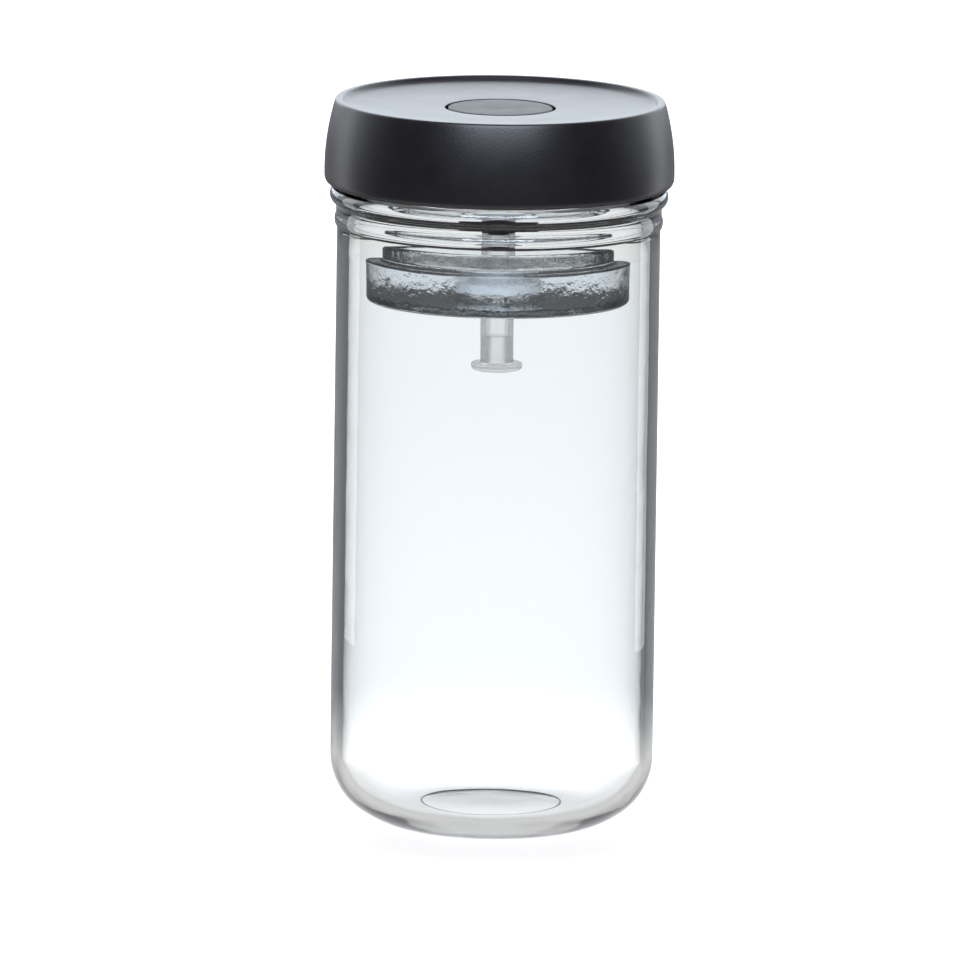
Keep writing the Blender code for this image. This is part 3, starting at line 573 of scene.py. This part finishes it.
def make_lid_shell(material):
    """Barrel skirt, raised rim band with a soft inner slope, and the recessed floor."""
    top_radius = barrel(LID_TOP_Z)
    band_inner = top_radius - RIM_BAND
    ridge_top = CAP_EDGE_Z - RIDGE_GAP
    ridge_radius = barrel(CAP_EDGE_Z) - SHELL_WALL - RIDGE_DEPTH
    skirt_end = SKIRT_Z + SKIRT_ROUND
    corners = [(top_radius, LID_TOP_Z, 0.8 * MM)]
    for i in range(1, BARREL_STEPS):
        z = LID_TOP_Z + (skirt_end - LID_TOP_Z) * i / BARREL_STEPS
        corners.append((barrel(z), z, 0))
    hem = arc((barrel(skirt_end) - SKIRT_ROUND, skirt_end), (SKIRT_ROUND, SKIRT_ROUND),
              0, -90, HEM_STEPS)
    corners += [(x, z, 0) for x, z in hem]
    corners += [
        (ridge_radius + RIDGE_LEAD, SKIRT_Z, 0.3 * MM),
        (ridge_radius, SKIRT_Z + RIDGE_LEAD, 0.2 * MM),
        (ridge_radius, ridge_top, 0),
        (barrel(ridge_top) - SHELL_WALL, ridge_top, 0.3 * MM),
    ]
    corners += [(barrel(z * MM) - SHELL_WALL, z * MM, 0) for z in SKIRT_RINGS]
    corners += [
        (PLATE_RADIUS - SHELL_WALL, SHELL_PLATE_Z, 0.8 * MM),
        (BUTTON_HOLE, SHELL_PLATE_Z, 0),
        (BUTTON_HOLE, LID_FLOOR_Z, 0.35 * MM),
    ]
    cove_end = band_inner - RIM_SLOPE
    for i in range(COVE_STEPS):
        share = i / COVE_STEPS
        radius = COVE_START + (cove_end - COVE_START) * share
        corners.append((radius, LID_FLOOR_Z + COVE_RISE * share ** 2, 0))
    corners += [
        (cove_end, LID_FLOOR_Z + COVE_RISE, 1.2 * MM),
        (band_inner, LID_TOP_Z, 0.9 * MM),
    ]
    shell = turned("lid_cover", rounded(corners, steps=6))
    dress(shell, material, "lid", "lid_shell")


def make_vent_button(material):
    """Flush disc with a softly broken edge, its guide skirt and the rod in its middle."""
    corners = [
        (0.0, LID_FLOOR_Z, 0),
        (BUTTON_FLAT, LID_FLOOR_Z, 0),
        (BUTTON_RADIUS, LID_FLOOR_Z, 0.6 * MM),
        (BUTTON_RADIUS, BUTTON_UNDER_Z, 0.3 * MM),
        (GUIDE_RADIUS, BUTTON_UNDER_Z, 0),
        (GUIDE_RADIUS, GUIDE_Z, 0.4 * MM),
        (GUIDE_RADIUS - GUIDE_WALL, GUIDE_Z, 0.4 * MM),
        (GUIDE_RADIUS - GUIDE_WALL, BUTTON_UNDER_Z, 0.5 * MM),
        (ROD_BOSS_RADIUS, BUTTON_UNDER_Z, 0),
        (ROD_BOSS_RADIUS, ROD_BOSS_Z, 0.3 * MM),
        (ROD_RADIUS, ROD_BOSS_Z, 0.3 * MM),
        (ROD_RADIUS, ROD_Z, 0.2 * MM),
        (SCREW_HOLE, ROD_Z, 0),
        (SCREW_HOLE, SCREW_HOLE_TOP, 0),
        (0.0, SCREW_HOLE_TOP, 0),
    ]
    button = turned("button_disc", rounded(corners), closed=False)
    dress(button, material, "vent", "vent_button")


def make_button_spring(material):
    """Open coil on its washer under the button, of finer facets than the CAD's."""
    bottom = SPRING_Z + SPRING_WIRE
    rise = SPRING_TOP_Z - SPRING_WIRE - bottom
    count = SPRING_TURNS * SPRING_STEPS
    bpy.ops.object.select_all(action="DESELECT")
    bpy.ops.curve.primitive_bezier_circle_add(radius=SPRING_RADIUS, location=(0, 0, 0))
    spring = bpy.context.object
    spring.name = "compression_coil"
    curve = spring.data
    curve.splines.clear()
    coil = curve.splines.new("POLY")
    coil.points.add(count)
    for i, point in enumerate(coil.points):
        angle = 2 * math.pi * SPRING_TURNS * i / count
        height = bottom + rise * i / count
        point.co = (SPRING_RADIUS * math.cos(angle), SPRING_RADIUS * math.sin(angle), height, 1.0)
    curve.bevel_depth = SPRING_WIRE
    curve.bevel_resolution = 4
    curve.use_fill_caps = True
    bpy.ops.object.convert(target="MESH")
    bpy.ops.object.mode_set(mode="EDIT")
    clean_mesh(crease=50)
    dress(spring, material, "lid", "button_spring")
    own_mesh(spring)


def make_press_weight(material, bore_material):
    """Thick disc with a raised ring, hollow foot and grip pocket, its faces gently uneven."""
    ring_top = PRESS_TOP_Z + RING_HEIGHT
    ring_inner = RING_RADIUS - RING_WIDTH
    foot = PRESS_RADIUS - FOOT_INSET
    recess = PRESS_Z + FOOT_RECESS
    # three rings in the middle of its side, so that the side can wave
    side = [PRESS_TOP_Z + (PRESS_Z - PRESS_TOP_Z) * i / 8 for i in (3, 4, 5)]
    corners = [
        (RING_RADIUS, ring_top, 1.3 * MM),
        (RING_RADIUS, PRESS_TOP_Z, 1.5 * MM),
        (PRESS_RADIUS, PRESS_TOP_Z, 0.9 * MM),
    ]
    corners += [(PRESS_RADIUS, z, 0) for z in side]
    corners += [
        (PRESS_RADIUS, PRESS_Z, 1.2 * MM),
        (foot, PRESS_Z, 1.0 * MM),
        (foot - FOOT_SLOPE, recess, 1.0 * MM),
        (HUB_RADIUS + FOOT_SLOPE, recess, 1.0 * MM),
        (HUB_RADIUS, PRESS_Z, 1.0 * MM),
        (POCKET_RADIUS, PRESS_Z, 0.4 * MM),
        (POCKET_RADIUS, GROUND_Z, 0),
        (POCKET_RADIUS, POCKET_TOP_Z, 0.4 * MM),
        (PRESS_BORE, POCKET_TOP_Z, 0.3 * MM),
        (PRESS_BORE, PRESS_TOP_Z, 0.8 * MM),
        (ring_inner, PRESS_TOP_Z, 2.0 * MM),
        (ring_inner, ring_top, 1.3 * MM),
    ]
    press = turned("pressed_glass_disc", rounded(corners, steps=5), crease=60)
    wavy_radius = POCKET_RADIUS + MM
    wavy_z = PRESS_Z + 0.5 * MM    # the face that it could stand on stays flat
    for vertex in press.data.vertices:
        reach = math.hypot(vertex.co.x, vertex.co.y)
        if reach > wavy_radius:
            lift = noise.noise(vertex.co / PRESS_WAVE_LENGTH) * PRESS_WAVE_HEIGHT
            vertex.co.x *= 1 - max(0.0, lift) / reach
            vertex.co.y *= 1 - max(0.0, lift) / reach
            if vertex.co.z > wavy_z:
                vertex.co.z -= abs(lift)
    dress(press, material, "press", "press_weight")
    press.data.materials.append(bore_material)
    ground_top = PRESS_TOP_Z - 0.1 * MM
    for face in press.data.polygons:
        reach = math.hypot(face.center.x, face.center.y)
        if reach < POCKET_RADIUS + SLACK and GROUND_Z < face.center.z < ground_top:
            face.material_index = 1    # the bore's


def make_press_stem(material):
    """Clear tube with a flared collar, which stops the press on its way up."""
    flare_top = FLARE_Z + FLARE_HEIGHT
    corners = [
        (STEM_RADIUS, STEM_TOP_Z, 0.3 * MM),
        (STEM_RADIUS, flare_top, 0.4 * MM),
        (FLARE_RADIUS, flare_top, 0.25 * MM),
        (FLARE_RADIUS, flare_top - FLARE_EDGE, 0.25 * MM),
        (STEM_RADIUS, FLARE_Z, 0.6 * MM),
        (STEM_RADIUS, STEM_BOTTOM_Z, 0.3 * MM),
        (STEM_BORE, STEM_BOTTOM_Z, 0.2 * MM),
        (STEM_BORE, STEM_TOP_Z, 0.2 * MM),
    ]
    stem = turned("clear_stem", rounded(corners))
    dress(stem, material, "hanger", "press_stem")


def finish_nodes(materials):
    """Gives the CAD nodes that stay in sight their materials."""
    for name, material in materials.items():
        node = bpy.data.objects[name]
        node.data.materials.clear()
        node.data.materials.append(material)


def trapped_light(tree, path):
    """1 for light reflected inside the glass, which a studio's dark sides would have lit: the mask
    for the painted shade of the glass's edges.
    """
    bounced = add_math(tree, "GREATER_THAN", path.outputs["Glossy Depth"], 0.5)
    return add_math(tree, "MULTIPLY", bounced, path.outputs["Is Transmission Ray"])


def make_floor():
    """A pale, slightly glossy sweep, which goes over into the white behind it. In mirrors it shows
    painted shade away from the jar, and to light trapped in the glass a painted dark edge.
    """
    bpy.ops.object.select_all(action="DESELECT")
    bpy.ops.mesh.primitive_circle_add(vertices=96, radius=6.0, fill_type="NGON", location=(0, 0, 0))
    floor = bpy.context.object
    floor.name = "studio_floor"
    material, tree, shader, place = new_material("studio_floor_white")
    set_inputs(shader, Roughness=0.3, IOR=1.2, Emission_Color=WHITE)
    path = add_node(tree, "ShaderNodeLightPath")
    glossy = path.outputs["Is Glossy Ray"]
    transmitted = path.outputs["Is Transmission Ray"]
    length = add_node(tree, "ShaderNodeVectorMath", {"operation": "LENGTH"}, i0=place)
    reach = length.outputs["Value"]
    away = smooth_step(tree, reach, start=0.07, end=0.3)
    # painted shade: in mirrors and in the glass, the floor away from the jar turns dark grey
    far_shade = mix_colors(tree, transmitted, MIRRORED_FLOOR_SHADE, THROUGH_FLOOR_SHADE)
    mirrored_shade_mask = add_math(tree, "MULTIPLY", glossy, away)
    color = mix_colors(tree, mirrored_shade_mask, FLOOR_COLOR, far_shade)
    tree.links.new(color, shader.inputs["Base Color"])
    seen = add_math(tree, "MAXIMUM", path.outputs["Is Camera Ray"], transmitted)
    lift = smooth_step(tree, reach, start=0.055, end=0.12, low=FLOOR_LIFT, high=FLOOR_LIFT_FAR)
    tree.links.new(add_math(tree, "MULTIPLY", seen, lift), shader.inputs["Emission Strength"])
    # painted shade: to light trapped in the glass the floor glows dark, a lighter grey by the base
    dark = add_node(tree, "ShaderNodeEmission",
                    Color=mix_colors(tree, away, PAINTED_HEEL_SHADE, PAINTED_EDGE_SHADE))
    mix = add_node(tree, "ShaderNodeMixShader", i0=trapped_light(tree, path),
                   i1=shader.outputs["BSDF"], i2=dark.outputs["Emission"])
    tree.links.new(mix.outputs["Shader"], tree.nodes["Material Output"].inputs["Surface"])
    floor.data.materials.append(material)


def make_world():
    """White behind all, a grey ceiling, and dark in front so that the lid keeps its depth."""
    world = bpy.data.worlds.new("studio_world")
    bpy.context.scene.world = world
    world.use_nodes = True
    tree = world.node_tree
    background = tree.nodes["Background"]
    path = add_node(tree, "ShaderNodeLightPath")
    aim = add_node(tree, "ShaderNodeTexCoord")
    axes = add_node(tree, "ShaderNodeSeparateXYZ", Vector=aim.outputs["Generated"])
    behind = smooth_step(tree, axes.outputs["Y"], start=-0.25, end=0.45)
    above = smooth_step(tree, axes.outputs["Z"], start=0.55, end=0.9)
    front = mix_colors(tree, above, FRONT_COLOR, CEILING_COLOR)
    glossy = mix_colors(tree, behind, front, (*COOL_WHITE, 1.0))
    # painted shade: light trapped in the glass meets dark instead of white, for the glass's dark
    # edges
    through = mix_colors(tree, trapped_light(tree, path), WHITE, PAINTED_EDGE_SHADE)
    color = mix_colors(tree, path.outputs["Is Glossy Ray"], AMBIENT_COLOR, glossy)
    color = mix_colors(tree, path.outputs["Is Transmission Ray"], color, through)
    color = mix_colors(tree, path.outputs["Is Camera Ray"], color, WHITE)
    tree.links.new(color, background.inputs["Color"])
    background.inputs["Strength"].default_value = 1.0


def add_softbox(name, place, target, size, power, color):
    """A rectangular lamp that looks at a point and stays out of sight."""
    lamp = bpy.data.lights.new(name, "AREA")
    lamp.shape = "RECTANGLE"
    lamp.size, lamp.size_y = size
    lamp.energy = power
    lamp.color = color
    obj = bpy.data.objects.new(name, lamp)
    bpy.context.scene.collection.objects.link(obj)
    obj.location = place
    obj.rotation_euler = (Vector(target) - Vector(place)).to_track_quat("-Z", "Y").to_euler()
    obj.visible_camera = False
    obj.visible_transmission = False


def make_lights():
    """Two tall strips close beside the jar, a box in front overhead, and a wide one behind it."""
    distance = 0.4
    tall = 0.7
    for name, side, degrees in (("strip_left", -1, 119), ("strip_right", 1, 124)):
        azimuth = math.radians(degrees)
        place = (side * distance * math.sin(azimuth), -distance * math.cos(azimuth), tall / 2)
        add_softbox(name, place, target=(0, 0, tall / 2), size=(0.11, tall), power=STRIP_POWER,
                    color=NEUTRAL_WHITE)
    add_softbox("front_box", place=(0.0, -1.45, 1.2), target=(0, 0, 0.2), size=(1.5, 0.55),
                power=FRONT_POWER, color=DAYLIGHT)
    add_softbox("back_box", place=(0.0, 1.6, 0.8), target=(0, 0, 0.24), size=(2.6, 1.1),
                power=BACK_POWER, color=COOL_WHITE)


def make_camera():
    """A long lens, level with the photograph's view, so that the jar's sides stay parallel."""
    camera = bpy.data.cameras.new("photo_camera")
    camera.sensor_width = SENSOR_WIDTH
    camera.lens = SENSOR_WIDTH * CAMERA_DISTANCE * PIXELS / PICTURE_WIDTH
    camera.clip_start = 0.1
    camera.clip_end = 100.0
    obj = bpy.data.objects.new("photo_camera", camera)
    bpy.context.scene.collection.objects.link(obj)
    away = Vector((0.0, -math.cos(ELEVATION), math.sin(ELEVATION)))
    obj.location = AIM + away * CAMERA_DISTANCE
    look = (-away).to_track_quat("-Z", "Y").to_matrix().to_4x4()
    obj.rotation_euler = (look @ Matrix.Rotation(ROLL, 4, "Z")).to_euler()
    bpy.context.scene.camera = obj


def main():
    """Makes the materials, the pieces that are drawn again, and the studio."""
    jar_glass = make_jar_glass()
    press_glass = make_press_glass()
    clear_plastic = make_clear_plastic()
    lid_plastic = make_lid_plastic(
        "charcoal_moulded_polypropylene", grain_height=0.035 * MM, roughness=(0.335, 0.36))
    button_plastic = make_lid_plastic(
        "charcoal_button_polypropylene", grain_height=0.045 * MM, roughness=(0.48, 0.55))
    inner_plastic = make_lid_plastic(
        "charcoal_inner_polypropylene", grain_height=0.02 * MM, roughness=(0.3, 0.38))
    silicone = make_silicone()
    spring_steel = make_steel(
        "drawn_spring_steel", stretch=(0.3, 0.3, 1.0), line_width=0.5 * MM)
    screw_steel = make_steel(
        "turned_stainless_steel", stretch=(0.2, 0.2, 1.0), line_width=0.4 * MM)

    make_glass_jar(jar_glass)
    make_lid_shell(lid_plastic)
    make_vent_button(button_plastic)
    make_button_spring(spring_steel)
    make_press_weight(press_glass, make_ground_bore())
    make_press_stem(clear_plastic)
    finish_nodes({
        "thread_cap": inner_plastic,
        "hanger_nut": inner_plastic,
        "stem_hanger": inner_plastic,
        "rim_gasket": silicone,
        "flap_valve": silicone,
        "poppet_seal": silicone,
        "grip_ring": silicone,
        "spring_washer": screw_steel,
        "poppet_screw": screw_steel,
        "stem_stop": clear_plastic,
        "grip_bush": clear_plastic,
    })
    make_floor()
    make_world()
    make_lights()
    make_camera()
    bpy.context.scene.view_settings.view_transform = "Standard"


main()
